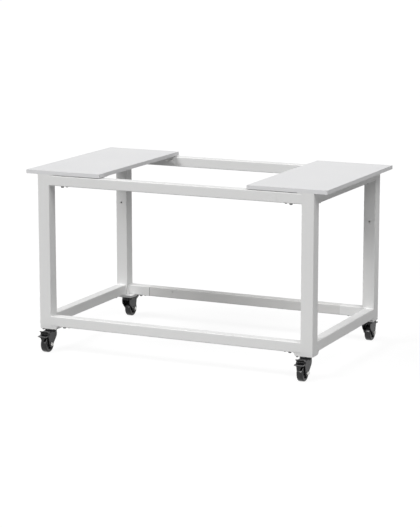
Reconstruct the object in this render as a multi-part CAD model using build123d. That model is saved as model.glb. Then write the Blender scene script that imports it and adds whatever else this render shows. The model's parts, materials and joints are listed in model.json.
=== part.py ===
from build123d import *
from math import cos, radians, sin
import os

os.makedirs("parts", exist_ok=True)

# A rolling stand for a desktop laser cutter: a bolted steel tube frame, two shelf boards with an open
# bay between them, and four braked swivel casters. Lengths are millimetres, X runs along the stand,
# -Y is its front and Z is up. The origin is on the floor under the middle of the stand.

# The whole stand
frame_length = 1165.0
frame_depth = 710.0
table_height = 725.0

# Square tubes
tube_inner_radius = 1.0
post_size = 50.0
post_wall = 2.0
rail_size = 40.0
rail_wall = 2.0
post_plate_thickness = 4.0

# Each post carries short stubs, and each rail joins two stubs over an inner sleeve
stub_length = 100.0
seam_gap = 0.25
sleeve_reach = 78.0
sleeve_wall = 2.0
sleeve_clearance = 0.2
bolt_inset = 50.0
bolt_pitch = 20.0

# Button head bolts under the joints, and the nuts welded inside the sleeves
bolt_radius = 3.0
bolt_head_radius = 5.5
bolt_head_height = 3.3
bolt_head_crown_radius = 3.6
bolt_length = 12.0
nut_flats = 10.0
nut_height = 5.0
fit_clearance = 0.05

# Post caps and shelf boards
cap_thickness = 2.5
cap_length = 70.0
cap_plug_depth = 10.0
cap_plug_clearance = 0.3
cap_corner_radius = 3.0
board_width = 323.0
board_thickness = 15.0
board_overhang = 51.0
edging_thickness = 1.0
edging_corner_radius = 2.0

# Angle brackets between the upper rails and the boards
bracket_width = 40.0
bracket_inset = 3.0
bracket_thickness = 2.5
bracket_drop = 32.0
bracket_reach = 38.0
bracket_screw_pitch = 22.0
bracket_bend_radius = 2.0
screw_radius = 2.5
screw_head_radius = 4.5
screw_head_height = 2.5
rail_screw_length = 10.0
board_screw_length = 14.0

# Plain round holes for accessories
accessory_hole_radius = 3.75
post_hole_height = 500.0
rail_hole_radius = 3.5
rail_hole_inset = 258.0
rail_hole_rise = 27.0

# Corner feet
caster_height = 92.0
foot_height = 12.0
foot_length = 74.0
foot_width = 58.0
foot_length_taper = 7.0
foot_width_taper = 17.0
foot_edge_inset = 4.0
foot_edge_height = 4.0
foot_corner_radius = 4.0
foot_screw_length = 18.0
foot_screw_near_x = 11.0
foot_screw_near_y = 8.5
foot_screw_far_x = 61.0
foot_screw_far_y = 35.0

# Caster swivel
swivel_inset_x = 36.0
swivel_inset_y = 22.0
trail = 30.0
stem_radius = 6.0
stem_nut_flats = 19.0
stem_nut_height = 8.0
stem_end_length = 3.0
stem_clearance = 0.1
stem_head_radius = 10.0
stem_head_height = 3.0
stem_head_gap = 0.3
race_radius = 23.0
race_top_thickness = 2.0
race_skirt_thickness = 1.8
race_skirt_gap = 0.6
ball_radius = 2.5
ball_clearance = 0.15
ball_circle_radius = 15.0
ball_count = 8

# Caster fork, pressed from one sheet
fork_sheet = 2.5
fork_gap = 32.0
fork_bend_radius = 5.0
fork_rim_height = 7.0
fork_shoulder_radius = 22.0
fork_shoulder_reach = 16.0
fork_shoulder_drop = 14.7
leg_end_radius = 12.5
lug_radius = 7.0

# Wheel, hub and axle
wheel_radius = 33.0
tyre_width = 26.0
tyre_shoulder_radius = 5.0
hub_radius = 24.0
hub_width = 24.0
hub_rim_thickness = 3.0
hub_web_thickness = 5.0
hub_boss_radius = 9.5
hub_boss_width = 27.0
hub_rib_count = 6
hub_rib_thickness = 2.5
hub_rib_width = 19.0
bush_radius = 6.0
bush_end_clearance = 0.3
axle_radius = 4.0
axle_head_height = 5.3
axle_flats = 13.0
axle_nut_height = 7.0
axle_end_length = 2.0

# Brake pedal: its side view is in shares of its reach, measured from the pin
pin_reach = 44.0
pin_height = 74.0
pin_radius = 2.5
pin_head_length = 1.5
pin_clearance = 0.1
pedal_reach = 30.0
pedal_width = 36.0
pedal_root_clearance = 1.2
pedal_wide_clearance = 1.3
pedal_edge_radius = 0.8
brake_angle = 10.0
brake_gap = 0.3
lifted_angle = 25.0
pedal_outline_shares = (
    (-0.18, 0.02),
    (-0.12, 0.14),
    (0.20, 0.28),
    (0.38, 0.48),
    (0.47, 0.46),
    (0.46, 0.38),
    (0.33, 0.28),
    (0.16, 0.16),
    (0.18, 0.02),
    (0.34, -0.07),
    (0.62, -0.09),
    (0.96, -0.11),
    (1.00, -0.16),
    (0.95, -0.22),
    (0.76, -0.29),
    (0.78, -0.52),
    (0.76, -0.77),
    (0.40, -0.65),
    (-0.06, -0.22),
)

# Front view of the pedal: shares of its half width, and of its reach above or below the pin
pedal_front_shares = (
    (1.00, 1.00),
    (1.00, -0.25),
    (0.53, -0.37),
    (0.44, -0.47),
    (0.17, -0.80),
)

# Levels and places that follow from the sizes above
frame_bottom = caster_height + foot_height
board_bottom = table_height - board_thickness
post_top = board_bottom - cap_thickness
post_length = post_top - frame_bottom
rail_middle = rail_size / 2
lower_level = frame_bottom + rail_middle
upper_level = post_top - rail_middle
joint_place = post_size + stub_length
sleeve_size = rail_size - 2 * rail_wall - 2 * sleeve_clearance
bolt_places = (post_size + bolt_inset, post_size + bolt_inset + bolt_pitch)
board_inner_place = board_width - board_overhang
bracket_middle = board_inner_place - bracket_inset - bracket_width / 2
foot_screw_places = (
    (foot_screw_near_x, foot_screw_near_y),
    (foot_screw_far_x, foot_screw_near_y),
    (foot_screw_near_x, foot_screw_far_y),
)
race_bottom = caster_height - race_top_thickness
fork_top = race_bottom - 2 * ball_radius - 2 * ball_clearance
fork_half_gap = fork_gap / 2
fork_half_width = fork_half_gap + fork_sheet
corners = {
    "front_left": (-1, -1),
    "front_right": (1, -1),
    "rear_left": (-1, 1),
    "rear_right": (1, 1),
}


def at_corner(shape, side_x, side_y):
    """A shape drawn inward from an outer corner, put at one of the frame's four corners."""
    placed = shape
    if side_x > 0:
        placed = mirror(placed, about=Plane.YZ)
    if side_y > 0:
        placed = mirror(placed, about=Plane.XZ)
    return Pos(side_x * frame_length / 2, side_y * frame_depth / 2, 0) * placed


def at_caster(shape, side_x, side_y):
    """A caster piece drawn about its swivel axis, trailing to -Y, put under one of the feet."""
    turn = 0 if side_y < 0 else 180
    place_x = side_x * (frame_length / 2 - swivel_inset_x)
    place_y = side_y * (frame_depth / 2 - swivel_inset_y)
    return Pos(place_x, place_y, 0) * Rot(0, 0, turn) * shape


def all_corners(shape):
    return [at_corner(shape, side_x, side_y) for side_x, side_y in corners.values()]


def all_casters(shape):
    return [at_caster(shape, side_x, side_y) for side_x, side_y in corners.values()]


def group(shapes):
    """Separate solids that share one node."""
    return Compound([solid for shape in shapes for solid in shape.solids()])


def pegs_up(radius, places, bottom, length):
    """Round pegs or hole cutters standing at several places of a corner."""
    peg = extrude(Circle(radius), amount=length)
    return [Pos(x, y, bottom) * peg for x, y in places]


def tube_section(size, wall):
    outer = RectangleRounded(size, size, tube_inner_radius + wall)
    inner = RectangleRounded(size - 2 * wall, size - 2 * wall, tube_inner_radius)
    return outer - inner


def tube_along_x(size, wall, start, length):
    section_plane = Plane(origin=start, x_dir=(0, 1, 0), z_dir=(1, 0, 0))
    return extrude(section_plane * tube_section(size, wall), amount=length)


def tube_along_y(size, wall, start, length):
    section_plane = Plane(origin=start, x_dir=(1, 0, 0), z_dir=(0, 1, 0))
    return extrude(section_plane * tube_section(size, wall), amount=length)


# Frame

def joint_bolt_places():
    """Bolt places of the two joints that meet at a corner, seen from below."""
    along_x = [(place, rail_middle) for place in bolt_places]
    along_y = [(rail_middle, place) for place in bolt_places]
    return along_x + along_y


def corner_post(accessory_hole):
    """A post with its two upper and two lower stubs and the plate that closes its foot end."""
    middle = post_size / 2
    foot_end = Pos(middle, middle, frame_bottom)
    post = foot_end * extrude(tube_section(post_size, post_wall), amount=post_length)
    plate_size = post_size - 2 * post_wall
    plate = RectangleRounded(plate_size, plate_size, tube_inner_radius)
    post += foot_end * extrude(plate, amount=post_plate_thickness)
    stub_start = post_size - post_wall
    for level in (lower_level, upper_level):
        length = joint_place - stub_start
        post += tube_along_x(rail_size, rail_wall, (stub_start, rail_middle, level), length)
        post += tube_along_y(rail_size, rail_wall, (rail_middle, stub_start, level), length)
        hole_radius = bolt_radius + fit_clearance
        for cutter in pegs_up(hole_radius, joint_bolt_places(), level - rail_middle, rail_middle):
            post -= cutter
    for cutter in pegs_up(screw_radius + fit_clearance, foot_screw_places, frame_bottom, rail_middle):
        post -= cutter
    stem_place = [(swivel_inset_x, swivel_inset_y)]
    for cutter in pegs_up(stem_radius + fit_clearance, stem_place, frame_bottom, rail_middle):
        post -= cutter
    if accessory_hole:
        inner_face = Plane(origin=(middle, post_size, post_hole_height), z_dir=(0, -1, 0))
        post -= extrude(inner_face * Circle(accessory_hole_radius), amount=middle)
    return post


def joining_sleeves():
    """Inner sleeves that carry the rails in the stubs, with their bolt holes."""
    start = joint_place - sleeve_reach
    hole_radius = bolt_radius + fit_clearance
    shapes = []
    for level in (lower_level, upper_level):
        along_x = tube_along_x(sleeve_size, sleeve_wall, (start, rail_middle, level), 2 * sleeve_reach)
        along_y = tube_along_y(sleeve_size, sleeve_wall, (rail_middle, start, level), 2 * sleeve_reach)
        for cutter in pegs_up(hole_radius, joint_bolt_places(), level - rail_middle, rail_middle):
            along_x -= cutter
            along_y -= cutter
        for cutter in rail_screw_pegs(screw_radius + fit_clearance, rail_screw_length):
            along_x -= cutter
        shapes += all_corners(along_x) + all_corners(along_y)
    return group(shapes)


def long_rail(side_y, level):
    """A front or rear rail between the seams with two stubs."""
    start = -frame_length / 2 + joint_place + seam_gap
    place_y = side_y * (frame_depth / 2 - rail_middle)
    return tube_along_x(rail_size, rail_wall, (start, place_y, level), -2 * start)


def side_rail(side_x, level):
    """A left or right rail between the seams with two stubs."""
    start = -frame_depth / 2 + joint_place + seam_gap
    place_x = side_x * (frame_length / 2 - rail_middle)
    return tube_along_y(rail_size, rail_wall, (place_x, start, level), -2 * start)


def bolt(length, radius, head_radius, head_height, crown_radius):
    """A bolt standing head down, with the seat of its head at zero."""
    head = Pos(0, 0, -head_height / 2) * Cone(crown_radius, head_radius, head_height)
    shank = extrude(Circle(radius), amount=length)
    return head + shank


def joint_bolts(level):
    one = bolt(bolt_length, bolt_radius, bolt_head_radius, bolt_head_height, bolt_head_crown_radius)
    placed = [Pos(x, y, level - rail_middle) * one for x, y in joint_bolt_places()]
    return group([copy for shape in placed for copy in all_corners(shape)])


def hex_nut(flats, height, bore_radius):
    outline = RegularPolygon(flats / 2, 6, major_radius=False) - Circle(bore_radius)
    return extrude(outline, amount=height)


def joint_nuts(level):
    """Nuts welded to the floor of the sleeves."""
    seat = level - sleeve_size / 2 + sleeve_wall
    one = hex_nut(nut_flats, nut_height, bolt_radius + fit_clearance)
    placed = [Pos(x, y, seat) * one for x, y in joint_bolt_places()]
    return group([copy for shape in placed for copy in all_corners(shape)])


def post_caps():
    """Plugs that close the posts, with flat tops that reach over the front and rear stubs."""
    middle = post_size / 2
    plug_size = post_size - 2 * post_wall - 2 * cap_plug_clearance
    top_place = Pos(cap_length / 2, middle, post_top)
    top = top_place * RectangleRounded(cap_length, post_size, cap_corner_radius)
    plug_bottom = Pos(middle, middle, post_top - cap_plug_depth)
    plug = plug_bottom * RectangleRounded(plug_size, plug_size, tube_inner_radius)
    cap = extrude(top, amount=cap_thickness) + extrude(plug, amount=cap_plug_depth)
    return group(all_corners(cap))


# Boards and their brackets

def board_outline(inset):
    """The left board seen from above, drawn in evenly by an inset."""
    place = board_width / 2 - board_overhang - frame_length / 2
    width = board_width - 2 * inset
    depth = frame_depth - 2 * inset
    return Pos(place, 0, board_bottom) * RectangleRounded(width, depth, edging_corner_radius - inset)


def shelf_board(side_x):
    board = extrude(board_outline(edging_thickness), amount=board_thickness)
    board = board if side_x < 0 else mirror(board, about=Plane.YZ)
    for cutter in board_screw_cutters():
        board -= cutter
    return board


def shelf_edging(side_x):
    outer = board_outline(0)
    inner = board_outline(edging_thickness)
    edging = extrude(outer - inner, amount=board_thickness)
    return edging if side_x < 0 else mirror(edging, about=Plane.YZ)


def bracket_screw_places():
    return [bracket_middle - bracket_screw_pitch / 2, bracket_middle + bracket_screw_pitch / 2]


def board_screw_place():
    return rail_size + bracket_reach - bracket_drop / 2


def rail_screw_height():
    return board_bottom - bracket_drop / 2


def board_screw_cutters():
    places = [(x, board_screw_place()) for x in bracket_screw_places()]
    hole_depth = board_screw_length - bracket_thickness
    cutters = pegs_up(screw_radius + fit_clearance, places, board_bottom, hole_depth)
    return [copy for cutter in cutters for copy in all_corners(cutter)]


def rail_screw_pegs(radius, length):
    """Pegs that run from a bracket's face into the upper rail beside it."""
    pegs = []
    for x in bracket_screw_places():
        face = Plane(origin=(x, rail_size + bracket_thickness, rail_screw_height()), z_dir=(0, -1, 0))
        pegs.append(extrude(face * Circle(radius), amount=length))
    return pegs


def shelf_bracket():
    """An angle bracket: one leg on the inner face of the upper rail, one under the board."""
    top_corner = (bracket_middle, rail_size, board_bottom)
    profile_plane = Plane(origin=top_corner, x_dir=(0, 1, 0), z_dir=(1, 0, 0))
    corner = Polyline((0, -bracket_drop), (0, 0), (bracket_reach, 0))
    inner = Polyline(
        (bracket_reach, 0),
        (bracket_reach, -bracket_thickness),
        (bracket_thickness, -bracket_thickness),
        (bracket_thickness, -bracket_drop),
        (0, -bracket_drop),
    )
    profile = make_face([*corner.edges(), *inner.edges()])
    inside_corner = profile.vertices().sort_by_distance((bracket_thickness, -bracket_thickness, 0))[0]
    profile = fillet(inside_corner, bracket_bend_radius)
    shape = extrude(profile_plane * profile, amount=bracket_width / 2, both=True)
    for cutter in rail_screw_pegs(screw_radius + fit_clearance, 2 * bracket_thickness):
        shape -= cutter
    places = [(x, board_screw_place()) for x in bracket_screw_places()]
    bottom = board_bottom - bracket_thickness
    for cutter in pegs_up(screw_radius + fit_clearance, places, bottom, 2 * bracket_thickness):
        shape -= cutter
    return shape


def board_screws():
    one = bolt(board_screw_length, screw_radius, screw_head_radius, screw_head_height, screw_radius)
    bottom = board_bottom - bracket_thickness
    placed = [Pos(x, board_screw_place(), bottom) * one for x in bracket_screw_places()]
    return group([copy for shape in placed for copy in all_corners(shape)])


def rail_screws():
    one = bolt(rail_screw_length, screw_radius, screw_head_radius, screw_head_height, screw_radius)
    shapes = []
    for x in bracket_screw_places():
        face = Plane(origin=(x, rail_size + bracket_thickness, rail_screw_height()), z_dir=(0, -1, 0))
        shapes += all_corners(face * one)
    return group(shapes)


# Corner feet

def corner_foot():
    """A tapered foot: flush with the outer faces at the top, drawn in at its lower edge."""
    edge_share = foot_edge_height / foot_height
    levels = (
        (frame_bottom, 0, 0),
        (caster_height + foot_edge_height, 1 - edge_share, 0),
        (caster_height, 1, foot_edge_inset),
    )
    sections = []
    for level, taper_share, inset in levels:
        length = foot_length - foot_length_taper * taper_share
        width = foot_width - foot_width_taper * taper_share
        place = Pos((length + inset) / 2, (width + inset) / 2, level)
        sections.append(place * RectangleRounded(length - inset, width - inset, foot_corner_radius))
    foot = loft(sections, ruled=True)
    for cutter in pegs_up(screw_radius + fit_clearance, foot_screw_places, caster_height, foot_height):
        foot -= cutter
    stem_place = [(swivel_inset_x, swivel_inset_y)]
    for cutter in pegs_up(stem_radius + fit_clearance, stem_place, caster_height, foot_height):
        foot -= cutter
    return foot


def foot_screws():
    one = bolt(foot_screw_length, screw_radius, screw_head_radius, screw_head_height, screw_radius)
    placed = [Pos(x, y, caster_height) * one for x, y in foot_screw_places]
    return group([copy for shape in placed for copy in all_corners(shape)])


# Casters, each drawn about its swivel axis and trailing to -Y

def caster_stem():
    """Threaded stem with the riveted head that carries the fork from below."""
    head_top = fork_top - fork_sheet - stem_head_gap
    head = extrude(Circle(stem_head_radius), amount=stem_head_height)
    head = Pos(0, 0, head_top - stem_head_height) * head
    nut_top = frame_bottom + post_plate_thickness + stem_nut_height
    shank_length = nut_top + stem_end_length - head_top
    return head + Pos(0, 0, head_top) * extrude(Circle(stem_radius), amount=shank_length)


def stem_nut():
    nut = hex_nut(stem_nut_flats, stem_nut_height, stem_radius + fit_clearance)
    return Pos(0, 0, frame_bottom + post_plate_thickness) * nut


def swivel_race():
    """Pressed cup under the foot that covers the balls."""
    skirt_height = caster_height - fork_top - race_skirt_gap
    cup = extrude(Circle(race_radius), amount=skirt_height)
    cup -= extrude(Circle(race_radius - race_skirt_thickness), amount=skirt_height - race_top_thickness)
    cup -= extrude(Circle(stem_radius + fit_clearance), amount=skirt_height)
    return Pos(0, 0, caster_height - skirt_height) * cup


def swivel_balls():
    middle = fork_top + ball_clearance + ball_radius
    ball = Pos(ball_circle_radius, 0, middle) * Sphere(ball_radius)
    return Compound([Rot(0, 0, turn * 360 / ball_count) * ball for turn in range(ball_count)])


def fork_outline():
    """Side view of the fork: head, convex back, axle end and the lug of the pedal pin."""
    head_half = (race_radius ** 2 - fork_half_width ** 2) ** 0.5
    shoulder_place = fork_shoulder_reach - fork_shoulder_radius
    head = Polyline((head_half, fork_top - fork_rim_height), (head_half, fork_top), (-head_half, fork_top))
    shoulder = Pos(shoulder_place, fork_top - fork_shoulder_drop) * Circle(fork_shoulder_radius)
    leg_end = Pos(-trail, wheel_radius) * Circle(leg_end_radius)
    lug = Pos(-pin_reach, pin_height) * Circle(lug_radius)
    return make_hull([*head.edges(), *shoulder.edges(), *leg_end.edges(), *lug.edges()])


def across(radius, half_width, place_y, place_z):
    """A round bar or hole cutter along X through a caster."""
    return extrude(Plane.YZ * Pos(place_y, place_z) * Circle(radius), amount=half_width, both=True)


def caster_fork():
    """Channel section cut to the side outline, under a round head with a turned-down rim."""
    outline = extrude(Plane.YZ * fork_outline(), amount=fork_half_width, both=True)
    sheet_length = pin_reach + lug_radius + race_radius
    outer = Plane.XZ * RectangleRounded(2 * fork_half_width, 2 * fork_top, fork_bend_radius)
    inner_radius = fork_bend_radius - fork_sheet
    inner = Plane.XZ * RectangleRounded(fork_gap, 2 * (fork_top - fork_sheet), inner_radius)
    channel = extrude(outer - inner, amount=sheet_length, both=True)
    fork = channel & outline
    rim = Pos(0, 0, fork_top - fork_rim_height)
    head = extrude(Circle(race_radius), amount=fork_rim_height)
    head -= extrude(Circle(race_radius - fork_sheet), amount=fork_rim_height - fork_sheet)
    fork += rim * head
    fork -= rim * extrude(Circle(stem_radius + stem_clearance), amount=fork_rim_height)
    fork -= across(axle_radius + fit_clearance, fork_half_width, -trail, wheel_radius)
    fork -= across(pin_radius + fit_clearance, fork_half_width, -pin_reach, pin_height)
    return fork


def axle_hardware():
    """Axle bolt, its nut and the pedal pin, each a solid of its own."""
    seat = Plane(origin=(-fork_half_width, -trail, wheel_radius), x_dir=(0, 1, 0), z_dir=(1, 0, 0))
    length = 2 * fork_half_width + axle_nut_height + axle_end_length
    head_outline = RegularPolygon(axle_flats / 2, 6, major_radius=False)
    head = extrude(head_outline, amount=-axle_head_height)
    bolt_body = seat * (head + extrude(Circle(axle_radius), amount=length))
    nut = hex_nut(axle_flats, axle_nut_height, axle_radius + fit_clearance)
    nut = seat * Pos(0, 0, 2 * fork_half_width) * nut
    pin = across(pin_radius, fork_half_width + pin_head_length, -pin_reach, pin_height)
    return group([bolt_body, nut, pin])


def wheel_ring(outer_radius, inner_radius, width):
    ring = Circle(outer_radius) - Circle(inner_radius)
    return extrude(Plane.YZ * Pos(-trail, wheel_radius) * ring, amount=width / 2, both=True)


def tyre():
    ring = wheel_ring(wheel_radius, hub_radius, tyre_width)
    shoulders = ring.edges().filter_by(GeomType.CIRCLE).group_by(SortBy.RADIUS)[-1]
    return fillet(shoulders, tyre_shoulder_radius)


def hub():
    """Rim, web and boss, with ribs on both sides of the web."""
    shape = wheel_ring(hub_radius, hub_radius - hub_rim_thickness, hub_width)
    shape += wheel_ring(hub_radius - hub_rim_thickness, bush_radius, hub_web_thickness)
    shape += wheel_ring(hub_boss_radius, bush_radius, hub_boss_width)
    rib_end = hub_radius - hub_rim_thickness / 2
    rib_start = bush_radius / 2 + hub_boss_radius / 2
    rib_face = Pos(rib_start / 2 + rib_end / 2, 0) * Rectangle(rib_end - rib_start, hub_rib_thickness)
    for turn in range(hub_rib_count):
        face = Pos(-trail, wheel_radius) * Rot(0, 0, turn * 360 / hub_rib_count) * rib_face
        shape += extrude(Plane.YZ * face, amount=hub_rib_width / 2, both=True)
    return shape


def bush():
    return wheel_ring(bush_radius, axle_radius + fit_clearance, fork_gap - 2 * bush_end_clearance)


def at_pin(along, up):
    """A place in the side view, given from the pedal pin in shares of the pedal's reach."""
    return (-pin_reach - along * pedal_reach, pin_height + up * pedal_reach)


def brake_pedal():
    """Two-lip pedal whose shoe lies along the tread when the pedal is pressed down."""
    side_points = [at_pin(*share) for share in pedal_outline_shares]
    side_view = make_face(Polyline(*side_points, close=True).edges())
    side_view = fillet(side_view.vertices(), pedal_edge_radius)
    narrow = extrude(Plane.YZ * side_view, amount=fork_half_gap - pedal_root_clearance, both=True)
    wide = extrude(Plane.YZ * side_view, amount=pedal_width / 2, both=True)
    wide_start = pin_reach + lug_radius + pedal_wide_clearance
    wide -= extrude(Plane.XZ * Rectangle(pedal_width, 2 * table_height), amount=wide_start)
    front_points = []
    for across_share, up in pedal_front_shares:
        front_points.append((across_share * pedal_width / 2, pin_height + up * pedal_reach))
    front_points += [(-x, z) for x, z in reversed(front_points)]
    front_view = make_face(Polyline(*front_points, close=True).edges())
    pedal = narrow + wide
    pedal &= extrude(Plane.XZ * front_view, amount=2 * (pin_reach + pedal_reach))
    turn = radians(brake_angle)
    back = pin_reach - trail
    drop = pin_height - wheel_radius
    locked_y = -pin_reach + back * cos(turn) - drop * sin(turn)
    locked_z = pin_height - back * sin(turn) - drop * cos(turn)
    pedal -= across(wheel_radius + brake_gap, pedal_width, locked_y, locked_z)
    return pedal - across(pin_radius + pin_clearance, pedal_width, -pin_reach, pin_height)


def lifted_pedal():
    """The pedal tipped up about its pin, as the rear left one stands."""
    pin = Pos(0, -pin_reach, pin_height)
    return pin * Rot(-lifted_angle, 0, 0) * pin.inverse() * brake_pedal()


def save(name, shape):
    export_step(shape, f"parts/{name}.step")


# Frame pieces
for name, (side_x, side_y) in corners.items():
    save(f"post_{name}", at_corner(corner_post(side_y > 0), side_x, side_y))
    save(f"foot_{name}", at_corner(corner_foot(), side_x, side_y))
rail_cutters = []
for peg in rail_screw_pegs(screw_radius + fit_clearance, rail_screw_length):
    rail_cutters += all_corners(peg)
for name, side_y in (("front", -1), ("rear", 1)):
    upper_rail = long_rail(side_y, upper_level)
    for cutter in rail_cutters:
        upper_rail -= cutter
    save(f"upper_rail_{name}", upper_rail)
lower_rear_rail = long_rail(1, lower_level)
rail_hole_level = frame_bottom + rail_hole_rise
for side in (-1, 1):
    hole_place = side * (frame_length / 2 - rail_hole_inset)
    hole_face = Plane(origin=(hole_place, frame_depth / 2 - rail_size, rail_hole_level), z_dir=(0, 1, 0))
    lower_rear_rail -= extrude(hole_face * Circle(rail_hole_radius), amount=rail_middle)
save("lower_rail_front", long_rail(-1, lower_level))
save("lower_rail_rear", lower_rear_rail)
for name, side_x in (("left", -1), ("right", 1)):
    save(f"upper_rail_{name}", side_rail(side_x, upper_level))
    save(f"lower_rail_{name}", side_rail(side_x, lower_level))
    save(f"shelf_board_{name}", shelf_board(side_x))
    save(f"shelf_edging_{name}", shelf_edging(side_x))
save("joining_sleeves", joining_sleeves())
save("joint_bolts_upper", joint_bolts(upper_level))
save("joint_bolts_lower", joint_bolts(lower_level))
save("joint_nuts_upper", joint_nuts(upper_level))
save("joint_nuts_lower", joint_nuts(lower_level))
save("post_caps", post_caps())
save("shelf_brackets", group(all_corners(shelf_bracket())))
save("shelf_board_screws", board_screws())
save("bracket_rail_screws", rail_screws())
save("foot_screws", foot_screws())

# Caster pieces
save("caster_stems", group(all_casters(caster_stem())))
save("stem_nuts", group(all_casters(stem_nut())))
save("swivel_races", group(all_casters(swivel_race())))
save("swivel_balls", group(all_casters(swivel_balls())))
caster_pieces = {
    "fork": caster_fork(),
    "axle_hardware": axle_hardware(),
    "tyre": tyre(),
    "hub": hub(),
    "bush": bush(),
}
for name, (side_x, side_y) in corners.items():
    for piece, shape in caster_pieces.items():
        save(f"{piece}_{name}", at_caster(shape, side_x, side_y))
    pedal = lifted_pedal() if name == "rear_left" else brake_pedal()
    save(f"brake_pedal_{name}", at_caster(pedal, side_x, side_y))
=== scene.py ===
import json
from math import cos, pi, radians, sin

import bmesh
import bpy
from mathutils import Matrix, Vector


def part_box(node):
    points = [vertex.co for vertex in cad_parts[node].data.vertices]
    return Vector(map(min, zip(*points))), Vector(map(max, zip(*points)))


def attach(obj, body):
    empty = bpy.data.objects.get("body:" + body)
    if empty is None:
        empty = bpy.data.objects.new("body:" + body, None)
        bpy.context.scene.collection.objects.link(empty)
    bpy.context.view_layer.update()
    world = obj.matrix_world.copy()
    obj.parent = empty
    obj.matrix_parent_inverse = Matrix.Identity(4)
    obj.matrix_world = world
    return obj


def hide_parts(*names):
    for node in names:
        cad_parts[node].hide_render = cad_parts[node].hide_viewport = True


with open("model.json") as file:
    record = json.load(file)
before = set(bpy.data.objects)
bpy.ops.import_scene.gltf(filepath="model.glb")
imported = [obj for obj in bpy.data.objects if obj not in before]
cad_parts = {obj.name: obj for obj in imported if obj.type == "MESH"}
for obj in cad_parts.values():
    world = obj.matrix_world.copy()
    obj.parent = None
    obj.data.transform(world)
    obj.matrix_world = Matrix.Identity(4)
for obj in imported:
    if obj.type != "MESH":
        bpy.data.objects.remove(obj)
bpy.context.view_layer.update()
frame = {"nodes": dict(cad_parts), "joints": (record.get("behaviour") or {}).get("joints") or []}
nodes = frame["nodes"]
joints = {joint["name"]: joint for joint in frame["joints"]}

mm = 0.001
corners = {
    "front_left": (-1, -1),
    "front_right": (1, -1),
    "rear_left": (-1, 1),
    "rear_right": (1, 1),
}

# Places on the frame, in metres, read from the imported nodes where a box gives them
outer_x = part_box("post_front_right")[1][0]
outer_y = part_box("post_rear_right")[1][1]
frame_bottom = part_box("lower_rail_front")[0][2]
upper_rail_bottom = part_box("upper_rail_front")[0][2]
board_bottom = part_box("shelf_board_left")[0][2]
foot_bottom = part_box("foot_front_left")[0][2]
rail_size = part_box("lower_rail_front")[1][2] - frame_bottom
post_size = 50 * mm
stub_length = 100 * mm
rail_round = 3 * mm

# Bolts and screws, in millimetres inward from the frame's outer faces
joint_bolt_places = [(100, 20), (20, 100)]
joint_screw_places = [(120, 20), (20, 120)]
foot_screw_places = [(11, 8.5), (65, 8.5), (17, 36)]
bracket_screw_x = (238, 260)
board_screw_y = 62
rail_screw_drop = 16
bracket_thickness = 2.5

# Feet, in millimetres: height, inset from the outer faces, and how far the foot reaches inward
foot_levels = [(104.0, 0.0, 78.5, 69.0), (91.8, 0.0, 72.0, 57.0), (91.3, 0.5, 71.5, 56.5)]
foot_round = 4.0

# Casters, in millimetres
fork_half_width = 18.5
wheel_radius = 33.0
tyre_half_width = 13.0
tyre_round = 5.0
axle_radius = 4.0
axle_flats = 13.0
axle_head_height = 5.3
nut_bore = 4.05
thread_start = 3.5
thread_end = 9.0
thread_pitch = 1.0


# Shader groups

def shader_group(name, inputs, outputs):
    """An empty shader group with named sockets, and its two end nodes."""
    tree = bpy.data.node_groups.new(name, "ShaderNodeTree")
    for label, value in inputs.items():
        kind = "NodeSocketColor" if isinstance(value, tuple) else "NodeSocketFloat"
        socket = tree.interface.new_socket(label, in_out="INPUT", socket_type=kind)
        socket.default_value = value
    for label, kind in outputs.items():
        tree.interface.new_socket(label, in_out="OUTPUT", socket_type=kind)
    return tree, tree.nodes.new("NodeGroupInput"), tree.nodes.new("NodeGroupOutput")


def maths(tree, operation, first, second):
    """One sum on two sockets or plain numbers."""
    node = tree.nodes.new("ShaderNodeMath")
    node.operation = operation
    for socket, value in zip(node.inputs, (first, second)):
        if isinstance(value, (int, float)):
            socket.default_value = value
        else:
            tree.links.new(value, socket)
    return node.outputs["Value"]


def noise_at(tree, size, detail, stretch=None):
    """Noise in the object's own coordinates, with patches of about the given size."""
    place = tree.nodes.new("ShaderNodeTexCoord").outputs["Object"]
    if stretch:
        mapping = tree.nodes.new("ShaderNodeMapping")
        mapping.inputs["Scale"].default_value = stretch
        tree.links.new(place, mapping.inputs["Vector"])
        place = mapping.outputs["Vector"]
    noise = tree.nodes.new("ShaderNodeTexNoise")
    noise.inputs["Detail"].default_value = detail
    tree.links.new(place, noise.inputs["Vector"])
    tree.links.new(maths(tree, "DIVIDE", 1.0, size), noise.inputs["Scale"])
    return noise.outputs["Fac"]


def ramped(tree, value, low, high):
    """A value stretched so that low becomes 0 and high becomes 1."""
    node = tree.nodes.new("ShaderNodeMapRange")
    node.inputs["From Min"].default_value = low
    node.inputs["From Max"].default_value = high
    tree.links.new(value, node.inputs["Value"])
    return node.outputs["Result"]


def mixed(tree, share, first, second):
    """A share of the second colour over the first, each a socket or a plain colour."""
    node = tree.nodes.new("ShaderNodeMix")
    node.data_type = "RGBA"
    tree.links.new(share, node.inputs["Factor"])
    for label, colour in (("A", first), ("B", second)):
        if isinstance(colour, tuple):
            node.inputs[label].default_value = (*colour, 1.0)
        else:
            tree.links.new(colour, node.inputs[label])
    return node.outputs["Result"]


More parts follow.
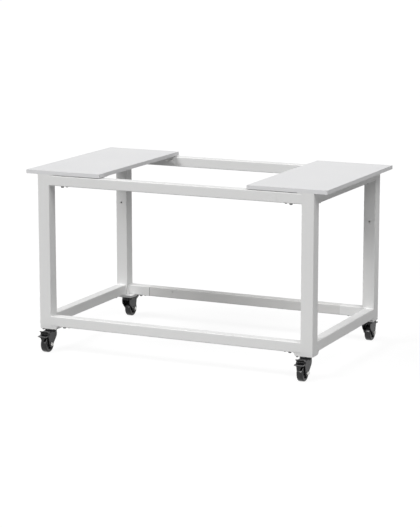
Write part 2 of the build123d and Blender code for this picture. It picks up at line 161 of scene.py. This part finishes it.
def coating_group():
    """Colour and gloss that drift a little over the surface, and a fine grain to bump."""
    tree, given, result = shader_group(
        "coating",
        {
            "Colour": (0.8, 0.8, 0.8, 1.0),
            "Drifted Colour": (0.75, 0.75, 0.75, 1.0),
            "Drift Size": 0.2,
            "Grain Size": 0.001,
            "Roughness": 0.4,
            "Roughness Drift": 0.05,
        },
        {"Colour": "NodeSocketColor", "Roughness": "NodeSocketFloat", "Height": "NodeSocketFloat"},
    )
    drift = ramped(tree, noise_at(tree, given.outputs["Drift Size"], 3.0), 0.3, 0.7)
    grain = noise_at(tree, given.outputs["Grain Size"], 2.0)
    colour = mixed(tree, drift, given.outputs["Colour"], given.outputs["Drifted Colour"])
    change = maths(tree, "MULTIPLY", drift, given.outputs["Roughness Drift"])
    grain_change = maths(tree, "MULTIPLY", grain, given.outputs["Roughness Drift"])
    rough = maths(tree, "ADD", given.outputs["Roughness"], maths(tree, "ADD", change, grain_change))
    tree.links.new(colour, result.inputs["Colour"])
    tree.links.new(rough, result.inputs["Roughness"])
    tree.links.new(grain, result.inputs["Height"])
    return tree


def scuff_group():
    """Sparse pale scuffs, as a mask from 0 to 1."""
    tree, given, result = shader_group(
        "scuffs",
        {"Scuff Size": 0.01, "Amount": 0.3},
        {"Mask": "NodeSocketFloat"},
    )
    patches = noise_at(tree, given.outputs["Scuff Size"], 6.0)
    streaks = noise_at(tree, given.outputs["Scuff Size"], 4.0, stretch=(1.0, 5.0, 0.6))
    both = maths(tree, "MULTIPLY", patches, streaks)
    mask = ramped(tree, both, 0.28, 0.45)
    tree.links.new(maths(tree, "MULTIPLY", mask, given.outputs["Amount"]), result.inputs["Mask"])
    return tree


def edge_wear_and_highlight_group():
    """Rubbed edges and painted edge highlights, as a mask from 0 to 1, where a rounded edge would turn
    away from the flat face.
    """
    tree, given, result = shader_group(
        "edge_wear_and_highlight",
        {"Edge Size": 0.0008, "Patch Size": 0.006, "Amount": 0.5},
        {"Mask": "NodeSocketFloat"},
    )
    rounded = tree.nodes.new("ShaderNodeBevel")
    tree.links.new(given.outputs["Edge Size"], rounded.inputs["Radius"])
    face = tree.nodes.new("ShaderNodeNewGeometry")
    agreement = tree.nodes.new("ShaderNodeVectorMath")
    agreement.operation = "DOT_PRODUCT"
    tree.links.new(rounded.outputs["Normal"], agreement.inputs[0])
    tree.links.new(face.outputs["Normal"], agreement.inputs[1])
    edge = ramped(tree, maths(tree, "SUBTRACT", 1.0, agreement.outputs["Value"]), 0.01, 0.16)
    patches = ramped(tree, noise_at(tree, given.outputs["Patch Size"], 4.0), 0.25, 0.55)
    both = maths(tree, "MULTIPLY", edge, patches)
    tree.links.new(maths(tree, "MULTIPLY", both, given.outputs["Amount"]), result.inputs["Mask"])
    return tree


coating = coating_group()
scuffs = scuff_group()
edge_wear_and_highlight = edge_wear_and_highlight_group()


# Finishes

# Pale colour of scuffs and rubbed edges, also used for painted edge highlights
rubbed_and_highlight_colour = (0.28, 0.275, 0.27)
rubbed_roughness = 0.5
grain_depth = 0.1 * mm


def finish(
    name, colour, drifted, *, drift_size, grain_size, roughness, roughness_drift, bump,
    metallic=0.0, coat=0.0, scuff=0.0, wear_and_highlight=0.0, gloss=0.5,
):
    """A procedural material on the coating group, with optional scuffs and rubbed edges; the rubbed
    edges also serve as painted edge highlights.
    """
    material = bpy.data.materials.new(name)
    material.use_nodes = True
    tree = material.node_tree
    shader = tree.nodes["Principled BSDF"]
    group = tree.nodes.new("ShaderNodeGroup")
    group.node_tree = coating
    group.inputs["Colour"].default_value = (*colour, 1.0)
    group.inputs["Drifted Colour"].default_value = (*drifted, 1.0)
    group.inputs["Drift Size"].default_value = drift_size
    group.inputs["Grain Size"].default_value = grain_size
    group.inputs["Roughness"].default_value = roughness
    group.inputs["Roughness Drift"].default_value = roughness_drift
    colour_out, rough_out = group.outputs["Colour"], group.outputs["Roughness"]
    for amount, mask_group in ((scuff, scuffs), (wear_and_highlight, edge_wear_and_highlight)):
        if not amount:
            continue
        marks = tree.nodes.new("ShaderNodeGroup")
        marks.node_tree = mask_group
        marks.inputs["Amount"].default_value = amount
        mask = marks.outputs["Mask"]
        colour_out = mixed(tree, mask, colour_out, rubbed_and_highlight_colour)
        rough_out = maths(tree, "ADD", rough_out, maths(tree, "MULTIPLY", mask, rubbed_roughness))
    tree.links.new(colour_out, shader.inputs["Base Color"])
    tree.links.new(rough_out, shader.inputs["Roughness"])
    relief = tree.nodes.new("ShaderNodeBump")
    relief.inputs["Strength"].default_value = bump
    relief.inputs["Distance"].default_value = grain_depth
    tree.links.new(group.outputs["Height"], relief.inputs["Height"])
    tree.links.new(relief.outputs["Normal"], shader.inputs["Normal"])
    shader.inputs["Metallic"].default_value = metallic
    shader.inputs["Coat Weight"].default_value = coat
    shader.inputs["Specular IOR Level"].default_value = gloss
    return material


powder_coat = finish(
    "powder_coat", (0.80, 0.80, 0.795), (0.785, 0.785, 0.78),
    drift_size=0.25, grain_size=1.2 * mm, roughness=0.38, roughness_drift=0.06, bump=0.25, coat=0.05,
)
# A darker, warmer coat for the lower rear rail only: painted shade, standing in for the shade that
# falls on that rail
painted_shade_coat = finish(
    "painted_shade_coat", (0.70, 0.695, 0.685), (0.685, 0.68, 0.67),
    drift_size=0.25, grain_size=1.2 * mm, roughness=0.40, roughness_drift=0.06, bump=0.25, coat=0.05,
)
melamine = finish(
    "melamine", (0.755, 0.755, 0.76), (0.74, 0.74, 0.75),
    drift_size=0.35, grain_size=0.7 * mm, roughness=0.46, roughness_drift=0.08, bump=0.35,
)
banding = finish(
    "banding", (0.76, 0.76, 0.765), (0.745, 0.745, 0.755),
    drift_size=0.2, grain_size=0.5 * mm, roughness=0.42, roughness_drift=0.05, bump=0.15,
)
cap_plastic = finish(
    "cap_plastic", (0.80, 0.80, 0.795), (0.785, 0.785, 0.78),
    drift_size=0.03, grain_size=0.5 * mm, roughness=0.46, roughness_drift=0.06, bump=0.2,
)
zinc = finish(
    "zinc", (0.60, 0.60, 0.59), (0.52, 0.52, 0.50),
    drift_size=0.004, grain_size=0.3 * mm, roughness=0.26, roughness_drift=0.12, bump=0.3, metallic=1.0,
)
dark_zinc = finish(
    "dark_zinc", (0.10, 0.10, 0.10), (0.07, 0.07, 0.07),
    drift_size=0.004, grain_size=0.3 * mm, roughness=0.34, roughness_drift=0.1, bump=0.3, metallic=0.8,
)
oiled_steel = finish(
    "oiled_steel", (0.20, 0.20, 0.20), (0.14, 0.14, 0.14),
    drift_size=0.005, grain_size=0.3 * mm, roughness=0.32, roughness_drift=0.1, bump=0.3, metallic=1.0,
)
black_enamel = finish(
    "black_enamel", (0.012, 0.012, 0.0135), (0.017, 0.017, 0.019),
    drift_size=0.02, grain_size=0.6 * mm, roughness=0.28, roughness_drift=0.08, bump=0.3,
    wear_and_highlight=0.35, gloss=0.3,
)
tread_rubber = finish(
    "tread_rubber", (0.010, 0.010, 0.011), (0.014, 0.014, 0.015),
    drift_size=0.015, grain_size=0.4 * mm, roughness=0.12, roughness_drift=0.05, bump=0.15,
    scuff=0.06, gloss=0.4,
)
hub_plastic = finish(
    "hub_plastic", (0.014, 0.014, 0.016), (0.02, 0.02, 0.022),
    drift_size=0.01, grain_size=0.5 * mm, roughness=0.38, roughness_drift=0.08, bump=0.35,
)
# The pedals' full-strength pale edges are a painted highlight along the lips
pedal_plastic = finish(
    "pedal_plastic", (0.006, 0.006, 0.007), (0.009, 0.009, 0.010),
    drift_size=0.01, grain_size=0.5 * mm, roughness=0.10, roughness_drift=0.05, bump=0.25,
    wear_and_highlight=1.0, gloss=0.42,
)
nylon = finish(
    "nylon", (0.74, 0.73, 0.69), (0.70, 0.69, 0.64),
    drift_size=0.005, grain_size=0.3 * mm, roughness=0.45, roughness_drift=0.06, bump=0.2,
)

# The first name here that starts a node's name gives its finish, and other steel is zinc plated
node_finishes = {
    "post_caps": cap_plastic,
    "post_": powder_coat,
    "upper_rail": powder_coat,
    # The lower rear rail gets the darker coat as painted shade
    "lower_rail_rear": painted_shade_coat,
    "lower_rail": powder_coat,
    "foot_screws": dark_zinc,
    "foot_": powder_coat,
    "shelf_brackets": powder_coat,
    "shelf_board_screws": zinc,
    "shelf_board": melamine,
    "shelf_edging": banding,
    "joining_sleeves": powder_coat,
    "fork": black_enamel,
    "swivel_races": black_enamel,
    "tyre": tread_rubber,
    "hub": hub_plastic,
    "bush": nylon,
    "brake_pedal": pedal_plastic,
}
for name, node in nodes.items():
    material = next((given for start, given in node_finishes.items() if name.startswith(start)), zinc)
    if not node.material_slots:
        node.data.materials.append(material)
    for slot in node.material_slots:
        slot.material = material


# Ways of making a mesh

smooth_limit = radians(32)
tiny = 1e-9


def new_piece(name, shape, body, material, replaced=()):
    """Turns a finished bmesh into a piece that rides on a body."""
    bmesh.ops.remove_doubles(shape, verts=shape.verts, dist=0.001 * mm)
    bmesh.ops.recalc_face_normals(shape, faces=shape.faces)
    mesh = bpy.data.meshes.new(name)
    shape.to_mesh(mesh)
    shape.free()
    mesh.polygons.foreach_set("use_smooth", [True] * len(mesh.polygons))
    mesh.set_sharp_from_angle(angle=smooth_limit)
    mesh.materials.append(material)
    piece = bpy.data.objects.new(name, mesh)
    bpy.context.scene.collection.objects.link(piece)
    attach(piece, body)
    if replaced:
        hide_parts(*replaced)


def skinned(shape, rings, closed=False):
    """Joins rings of points into a solid with two ends, or into one that closes on itself."""
    pairs = list(zip(rings, rings[1:]))
    if closed:
        pairs.append((rings[-1], rings[0]))
    else:
        shape.faces.new(rings[0])
        shape.faces.new(rings[-1])
    for first, second in pairs:
        for step in range(len(first)):
            after = (step + 1) % len(first)
            shape.faces.new((first[step], first[after], second[after], second[step]))


def turned(shape, profile, place, angles, closed=False):
    """A solid of rings of radius and height round the local Z axis, in millimetres."""
    rings = []
    for radius, height in profile:
        ring = []
        for angle in angles:
            reach = radius(angle) if callable(radius) else radius
            point = Vector((reach * cos(angle), reach * sin(angle), height)) * mm
            ring.append(shape.verts.new(place @ point))
        rings.append(ring)
    skinned(shape, rings, closed)


def even_angles(count):
    return [2 * pi * step / count for step in range(count)]


def hexagon(flats, limit=None):
    """Radius of a hexagon at an angle, cut to a cone's radius where a limit is given."""
    def radius(angle):
        turn = (angle + pi / 6) % (pi / 3) - pi / 6
        reach = flats / 2 / cos(turn)
        return min(reach, limit) if limit else reach
    return radius


def cross_recess(arm, half_width):
    """Radius of a plus-shaped recess at an angle."""
    def radius(angle):
        side = max(abs(cos(angle)), tiny)
        rise = max(abs(sin(angle)), tiny)
        return max(min(arm / side, half_width / rise), min(arm / rise, half_width / side))
    return radius


def facing(place, direction):
    """A matrix that puts the local Z axis along a direction at a place."""
    turn = Vector((0, 0, 1)).rotation_difference(Vector(direction))
    return Matrix.Translation(place) @ turn.to_matrix().to_4x4()


def corner_point(side_x, side_y, from_x, from_y, height):
    """A place given in millimetres inward from an outer corner."""
    return Vector((side_x * (outer_x - from_x * mm), side_y * (outer_y - from_y * mm), height))


# Bolts and screws

def cap_screw(radius, height, flats, shank, length, washer=0.0):
    """A socket cap screw from its recess to its point, with its head under the seat at zero."""
    recess = [(hexagon(flats), -0.55 * height), (hexagon(flats), 0.4 - height)]
    recess += [(hexagon(1.08 * flats), -height)]
    rim = [(radius - 0.9, -height), (radius - 0.3, 0.25 - height), (radius, 0.9 - height)]
    under = [(radius, -0.3 - washer), (radius - 0.2, -washer)]
    if washer:
        edge = radius + 1.6
        under += [(edge - 0.2, -washer), (edge, 0.2 - washer), (edge, -0.2), (edge - 0.2, 0.0)]
    return recess + rim + under + [(shank, 0.0), (shank, length - 0.7), (shank - 0.6, length)]


def pan_head(length):
    """A pan head screw with a cross recess, from its recess to its point."""
    return [
        (cross_recess(1.2, 0.45), -0.9),
        (cross_recess(2.3, 0.55), -2.3),
        (cross_recess(2.4, 0.65), -2.5),
        (3.0, -2.45),
        (3.8, -2.1),
        (4.3, -1.4),
        (4.5, -0.5),
        (4.45, 0.0),
        (2.5, 0.0),
        (2.5, length - 1.0),
        (1.6, length),
    ]


joint_bolt = cap_screw(radius=6.0, height=8.0, flats=6.0, shank=3.0, length=12.0, washer=1.6)
joint_screw = cap_screw(radius=4.5, height=5.2, flats=3.0, shank=3.0, length=12.0)
foot_screw = cap_screw(radius=4.6, height=6.0, flats=4.0, shank=2.5, length=18.0)
board_screw = pan_head(length=14)
rail_screw = pan_head(length=10)

socket_angles = even_angles(36)
cross_angles = []
for quarter in range(4):
    for degrees in (6, 14, 25, 45, 65, 76, 84):
        cross_angles.append(quarter * pi / 2 + radians(degrees))


def screws_up(shape, places, seat, profile, angles):
    """The same screws under each corner, driven upward."""
    for side_x, side_y in corners.values():
        for from_x, from_y in places:
            place = facing(corner_point(side_x, side_y, from_x, from_y, seat), (0, 0, 1))
            turned(shape, profile, place, angles)


for level_name, seat in (("upper", upper_rail_bottom), ("lower", frame_bottom)):
    shape = bmesh.new()
    screws_up(shape, joint_bolt_places, seat, joint_bolt, socket_angles)
    screws_up(shape, joint_screw_places, seat, joint_screw, socket_angles)
    node = f"joint_bolts_{level_name}"
    new_piece(f"joint_cap_screws_{level_name}", shape, "frame", oiled_steel, [node])


# Feet and their screws

def foot_ring(shape, side_x, side_y, height, inset, length, width):
    """One level of a foot: a rounded rectangle that starts at an outer corner."""
    ring = []
    edges = [(length, width), (inset, width), (inset, inset), (length, inset)]
    for quarter, (middle_x, middle_y) in enumerate(edges):
        middle_x += foot_round if middle_x == inset else -foot_round
        middle_y += foot_round if middle_y == inset else -foot_round
        for degrees in range(0, 91, 15):
            turn = radians(90 * quarter + degrees)
            point = (middle_x + foot_round * cos(turn), middle_y + foot_round * sin(turn))
            ring.append(shape.verts.new(corner_point(side_x, side_y, *point, height * mm)))
    return ring


for corner, (side_x, side_y) in corners.items():
    shape = bmesh.new()
    skinned(shape, [foot_ring(shape, side_x, side_y, *level) for level in foot_levels])
    new_piece(f"tapered_foot_{corner}", shape, "frame", powder_coat, [f"foot_{corner}"])

shape = bmesh.new()
screws_up(shape, foot_screw_places, foot_bottom, foot_screw, socket_angles)
new_piece("foot_cap_screws", shape, "frame", dark_zinc, ["foot_screws"])


# Screws of the shelf brackets

shape = bmesh.new()
board_screw_places = [(from_x, board_screw_y) for from_x in bracket_screw_x]
board_screw_seat = board_bottom - bracket_thickness * mm
screws_up(shape, board_screw_places, board_screw_seat, board_screw, cross_angles)
new_piece("board_pan_screws", shape, "frame", zinc, ["shelf_board_screws"])

shape = bmesh.new()
rail_face = rail_size / mm + bracket_thickness
for side_x, side_y in corners.values():
    for from_x in bracket_screw_x:
        seat = corner_point(side_x, side_y, from_x, rail_face, board_bottom - rail_screw_drop * mm)
        turned(shape, rail_screw, facing(seat, (0, side_y, 0)), cross_angles)
new_piece("bracket_pan_screws", shape, "frame", zinc, ["bracket_rail_screws"])


# Weld beads

bead_leg = 2.6
bead_step = 1.1
bead_root = 0.2
bead_ripple = 0.12
bead_ripple_turn = 2.1
bead_shares = (1.0, 0.82, 0.74, 0.82, 1.0)


def bead_path(above):
    """Points and outward normals round a stub's free sides, in its end plane, in millimetres."""
    half = rail_size / mm / 2
    corner_round = rail_round / mm
    rise = 1 if above else -1
    path = []
    across = half - corner_round
    steps = int(2 * across / bead_step)
    for step in range(steps + 1):
        path.append(((-across + 2 * across * step / steps, rise * half), (0, rise)))
    for degrees in (30, 60):
        turn = radians(degrees)
        point = (across + corner_round * sin(turn), rise * (across + corner_round * cos(turn)))
        path.append((point, (sin(turn), rise * cos(turn))))
    for step in range(steps + 1):
        path.append(((half, rise * (across - 2 * across * step / steps)), (1, 0)))
    return path


def weld_bead(shape, middle, along, inward, above):
    """A rippled fillet weld where a stub meets its post."""
    along = Vector(along)
    rings = []
    for count, ((inner, height), (normal_in, normal_up)) in enumerate(bead_path(above)):
        point = middle + (Vector(inward) * inner + Vector((0, 0, height))) * mm
        normal = Vector(inward) * normal_in + Vector((0, 0, normal_up))
        leg = bead_leg * (1 + bead_ripple * sin(count * bead_ripple_turn)) * mm
        ring = [shape.verts.new(point - (normal + along) * bead_root * mm)]
        for step, share in enumerate(bead_shares):
            turn = pi / 2 * step / (len(bead_shares) - 1)
            way = normal * sin(turn) + along * cos(turn)
            ring.append(shape.verts.new(point + way * leg * share))
        rings.append(ring)
    skinned(shape, rings)


shape = bmesh.new()
half_rail = rail_size / 2
for side_x, side_y in corners.values():
    for rail_bottom, above in ((upper_rail_bottom, False), (frame_bottom, True)):
        level = rail_bottom + half_rail
        middle_x = Vector((side_x * (outer_x - post_size), side_y * (outer_y - half_rail), level))
        weld_bead(shape, middle_x, (-side_x, 0, 0), (0, -side_y, 0), above)
        middle_y = Vector((side_x * (outer_x - half_rail), side_y * (outer_y - post_size), level))
        weld_bead(shape, middle_y, (0, -side_y, 0), (-side_x, 0, 0), above)
new_piece("weld_beads", shape, "frame", powder_coat)

# A black strip in the left joint of the lower rear rail, at its front, bottom and back: painted shade
# for the shadow line in the narrow seam
seam_x = post_size + stub_length - outer_x
seam_width = 1.4 * mm
seam_depth = 0.5 * mm
seam_rise = 0.08 * mm
seam_section = ((-1, -seam_depth), (-1, seam_rise), (1, seam_rise), (1, -seam_depth))
seam_path = [((0, rail_size - rail_round), (-1, 0))]
for middle_along, first_turn in ((rail_round, 180), (rail_size - rail_round, 270)):
    for degrees in range(first_turn, first_turn + 91, 15):
        way = (cos(radians(degrees)), sin(radians(degrees)))
        seam_path.append(((middle_along + rail_round * way[0], rail_round * (1 + way[1])), way))
seam_path.append(((rail_size, rail_size - rail_round), (1, 0)))
shape = bmesh.new()
rings = []
for (along, rise), (way_y, way_z) in seam_path:
    ring = []
    for edge, reach in seam_section:
        place_y = outer_y - rail_size + along + way_y * reach
        place_z = frame_bottom + rise + way_z * reach
        ring.append(shape.verts.new((seam_x + edge * seam_width / 2, place_y, place_z)))
    rings.append(ring)
skinned(shape, rings)
new_piece("painted_seam_shadow", shape, "frame", black_enamel)


# Casters

# Profiles give a radius and a place along the axis, in millimetres
tyre_flank = [(24.0, 0.0), (26.3, 0.0), (26.6, -0.3), (27.2, -0.3), (27.5, 0.0)]
for degrees in range(0, 91, 15):
    turn = radians(degrees)
    reach = wheel_radius - tyre_round + tyre_round * sin(turn)
    tyre_flank.append((reach, tyre_round * cos(turn) - tyre_round))
tyre_profile = [(radius, tyre_half_width + depth) for radius, depth in tyre_flank]
tyre_profile += [(wheel_radius, 0.25), (wheel_radius, 0.0), (wheel_radius, -0.25)]
tyre_profile += [(radius, -tyre_half_width - depth) for radius, depth in reversed(tyre_flank)]

race_profile = [
    (6.05, 92.0),
    (20.6, 92.0),
    (21.9, 91.7),
    (22.7, 90.9),
    (23.0, 89.8),
    (23.0, 86.3),
    (22.9, 85.6),
    (22.4, 85.3),
    (21.5, 85.35),
    (21.2, 85.8),
    (21.2, 89.2),
    (20.5, 90.0),
    (6.05, 90.0),
]
pin_dome = [(1.0, 1.8), (2.4, 1.6), (3.2, 1.0), (3.4, 0.4), (3.4, 0.0), (2.5, 0.0)]

chamfer_steps = (0.0, 0.25, 0.5, 0.75, 1.0)
chamfer_slope = 1.7
face_share = 0.92


def chamfered(flats, rise):
    """A hexagon whose corners are cut by a cone that opens away from its face."""
    return hexagon(flats, flats / 2 * face_share + rise * chamfer_slope)


def hex_head(flats, height):
    """A chamfered hexagon head from its face at minus height to its seat at zero."""
    chamfer = [(chamfered(flats, rise), -height + rise) for rise in chamfer_steps]
    return chamfer + [(hexagon(flats), -height + 1.3), (hexagon(flats), 0.0)]


def lock_nut(flats, bore):
    """A hexagon lock nut with its rounded collar, from its seat at zero upward."""
    chamfer = [(chamfered(flats, rise), 5.2 - rise) for rise in reversed(chamfer_steps)]
    collar = [(5.6, 5.25), (5.55, 6.2), (5.2, 6.8), (4.7, 7.0), (bore, 7.0)]
    seat = [(bore, 0.0), (5.9, 0.0), (hexagon(flats, 6.4), 0.15), (hexagon(flats), 0.8)]
    return seat + chamfer + collar


def threaded_end(radius, start, end, pitch):
    """Thread-like grooves along a rod, up to its chamfered end."""
    rings = []
    height = start
    while height < end - 1.2 * pitch:
        rings += [(radius, height), (radius - 0.35, height + pitch / 2)]
        height += pitch
    return rings + [(radius - 0.1, height), (radius - 0.8, end)]


def joint_middle(joint, corner):
    """The place of a caster's own joint."""
    return Vector(joints[f"{joint}_{corner}"]["pos_m"])


def make_tyre(corner):
    """A tyre with a crowned tread and a groove where its flank meets the hub."""
    shape = bmesh.new()
    wheel = facing(joint_middle("wheel_spin", corner), (1, 0, 0))
    turned(shape, tyre_profile, wheel, even_angles(72), closed=True)
    name = f"moulded_tyre_{corner}"
    new_piece(name, shape, f"wheel_{corner}", tread_rubber, [f"tyre_{corner}"])


def make_axle(corner):
    """An axle bolt with its lock nut, which faces the other way on the rear casters."""
    shape = bmesh.new()
    axle = facing(joint_middle("wheel_spin", corner), (-corners[corner][1], 0, 0))
    head = hex_head(axle_flats, axle_head_height)
    bolt = [(radius, height - fork_half_width) for radius, height in head]
    bolt += [(axle_radius, -fork_half_width), (axle_radius, fork_half_width)]
    start = fork_half_width + thread_start
    bolt += threaded_end(axle_radius, start, fork_half_width + thread_end, thread_pitch)
    turned(shape, bolt, axle, even_angles(48))
    nut = [(radius, height + fork_half_width) for radius, height in lock_nut(axle_flats, nut_bore)]
    turned(shape, nut, axle, even_angles(48), closed=True)
    name = f"axle_bolt_{corner}"
    new_piece(name, shape, f"swivel_{corner}", zinc, [f"axle_hardware_{corner}"])


def make_pedal_pin(corner):
    """The pin that the pedal rocks on, with a domed head at each end."""
    shape = bmesh.new()
    pin = facing(joint_middle("brake_press", corner), (1, 0, 0))
    dome = [(radius, -fork_half_width - rise) for radius, rise in pin_dome]
    other = [(radius, -height) for radius, height in reversed(dome)]
    turned(shape, dome + other, pin, even_angles(24))
    new_piece(f"pedal_pin_{corner}", shape, f"swivel_{corner}", black_enamel)


for corner in corners:
    make_tyre(corner)
    make_axle(corner)
    make_pedal_pin(corner)

shape = bmesh.new()
for corner, (_, side_y) in corners.items():
    x, y, _ = joint_middle("swivel_turn", corner)
    place = Matrix.Translation((x, y, 0)) @ Matrix.Rotation(0 if side_y < 0 else pi, 4, "Z")
    turned(shape, race_profile, place, even_angles(64), closed=True)
new_piece("rolled_races", shape, "frame", black_enamel, ["swivel_races"])


# Stage, light and camera

floor_reach = 30.0
floor_bounce = (0.30, 0.30, 0.30, 1.0)
floor_glow = 0.9
floor_shadow = (0.14, 0.14, 0.14, 1.0)
ambient = 0.08


def is_seen(tree):
    """One for camera, glossy and transmission rays, for the plain white surroundings."""
    path = tree.nodes.new("ShaderNodeLightPath")
    first = maths(tree, "MAXIMUM", path.outputs["Is Camera Ray"], path.outputs["Is Glossy Ray"])
    return maths(tree, "MAXIMUM", first, path.outputs["Is Transmission Ray"])


# The floor looks white and shows the stand's shadow, but throws less light back at the stand
floor_material = bpy.data.materials.new("floor")
floor_material.use_nodes = True
tree = floor_material.node_tree
output = tree.nodes["Material Output"]
tree.nodes.remove(tree.nodes["Principled BSDF"])
bounce = tree.nodes.new("ShaderNodeBsdfDiffuse")
bounce.inputs["Color"].default_value = floor_bounce
glow = tree.nodes.new("ShaderNodeEmission")
glow.inputs["Strength"].default_value = floor_glow
catch = tree.nodes.new("ShaderNodeBsdfDiffuse")
catch.inputs["Color"].default_value = floor_shadow
seen = tree.nodes.new("ShaderNodeAddShader")
tree.links.new(glow.outputs["Emission"], seen.inputs[0])
tree.links.new(catch.outputs["BSDF"], seen.inputs[1])
choice = tree.nodes.new("ShaderNodeMixShader")
tree.links.new(is_seen(tree), choice.inputs["Fac"])
tree.links.new(bounce.outputs["BSDF"], choice.inputs[1])
tree.links.new(seen.outputs["Shader"], choice.inputs[2])
tree.links.new(choice.outputs["Shader"], output.inputs["Surface"])

floor_mesh = bpy.data.meshes.new("floor")
floor_points = [(-floor_reach, -floor_reach, 0), (floor_reach, -floor_reach, 0)]
floor_points += [(floor_reach, floor_reach, 0), (-floor_reach, floor_reach, 0)]
floor_mesh.from_pydata(floor_points, [], [(0, 1, 2, 3)])
floor_mesh.materials.append(floor_material)
floor = bpy.data.objects.new("floor", floor_mesh)
bpy.context.scene.collection.objects.link(floor)

world = bpy.data.worlds.new("studio")
bpy.context.scene.world = world
world.use_nodes = True
tree = world.node_tree
background = tree.nodes["Background"]
background.inputs["Color"].default_value = (1.0, 1.0, 1.0, 1.0)
level = maths(tree, "ADD", ambient, maths(tree, "MULTIPLY", 1.0 - ambient, is_seen(tree)))
tree.links.new(level, background.inputs["Strength"])


def softbox(name, turn, height, level, spread):
    """A broad lamp far off, turned from the front towards the left and raised, in degrees."""
    lamp = bpy.data.lights.new(name, "SUN")
    lamp.energy = pi * level
    lamp.angle = radians(spread)
    turn, height = radians(turn), radians(height)
    direction = Vector((-sin(turn) * cos(height), -cos(turn) * cos(height), sin(height)))
    piece = bpy.data.objects.new(name, lamp)
    piece.rotation_mode = "QUATERNION"
    piece.rotation_quaternion = direction.to_track_quat("Z", "Y")
    bpy.context.scene.collection.objects.link(piece)


softbox("left_softbox", turn=46, height=55, level=0.52, spread=28)
softbox("right_softbox", turn=-53, height=50, level=0.50, spread=40)
softbox("low_softbox", turn=15, height=22, level=0.20, spread=17)

# The camera that was fitted to the photograph, in metres and degrees
camera_place = (3.1788, -6.8706, 1.8396)
camera_tilt = 78.763
camera_turn = 24.849
camera = bpy.data.cameras.new("camera")
camera.lens = 131.9
camera.sensor_width = 36.0
camera_object = bpy.data.objects.new("camera", camera)
camera_object.location = camera_place
camera_object.rotation_euler = (radians(camera_tilt), 0, radians(camera_turn))
bpy.context.scene.collection.objects.link(camera_object)
bpy.context.scene.camera = camera_object
bpy.context.scene.view_settings.view_transform = "Standard"
